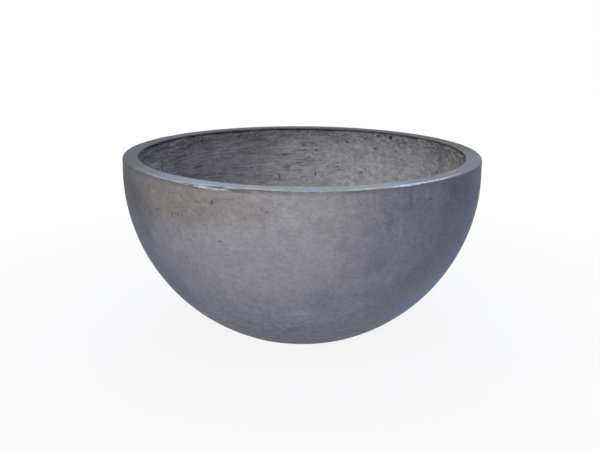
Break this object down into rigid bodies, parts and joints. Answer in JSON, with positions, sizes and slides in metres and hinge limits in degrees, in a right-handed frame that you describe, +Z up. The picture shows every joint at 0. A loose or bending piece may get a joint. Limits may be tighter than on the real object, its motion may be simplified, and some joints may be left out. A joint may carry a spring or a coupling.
{
  "type": "concrete bowl planter",
  "caption": "Round half-ball planter bowl in hand-laid glass-fibre cement, with a flat rim, a flat base with a drained underside, and a rubber plug that lifts out of the drain hole.",
  "frame": {"origin": "middle of the flat base, on the ground", "axes": "+Z up along the bowl's axis of symmetry, out of its mouth; X and Y are level, and the four underside grooves run at 45 degrees between them"},
  "size_m": [0.5998, 0.5998, 0.3],
  "materials": {
    "face_concrete": "satin",
    "backing_concrete": "matte",
    "scrim": "matte",
    "plug_rubber": "matte"
  },
  "bodies": {
    "bowl": {"face_coat": "face_concrete", "outer_backing": "backing_concrete", "glass_scrim": "scrim", "inner_backing": "backing_concrete"},
    "plug": {"drain_plug": "plug_rubber"}
  },
  "joints": [
    {"name": "plug_lift", "type": "slide", "parent": "bowl", "child": "plug", "axis": [0, 0, 1], "range_m": [0, 0.31]}
  ]
}
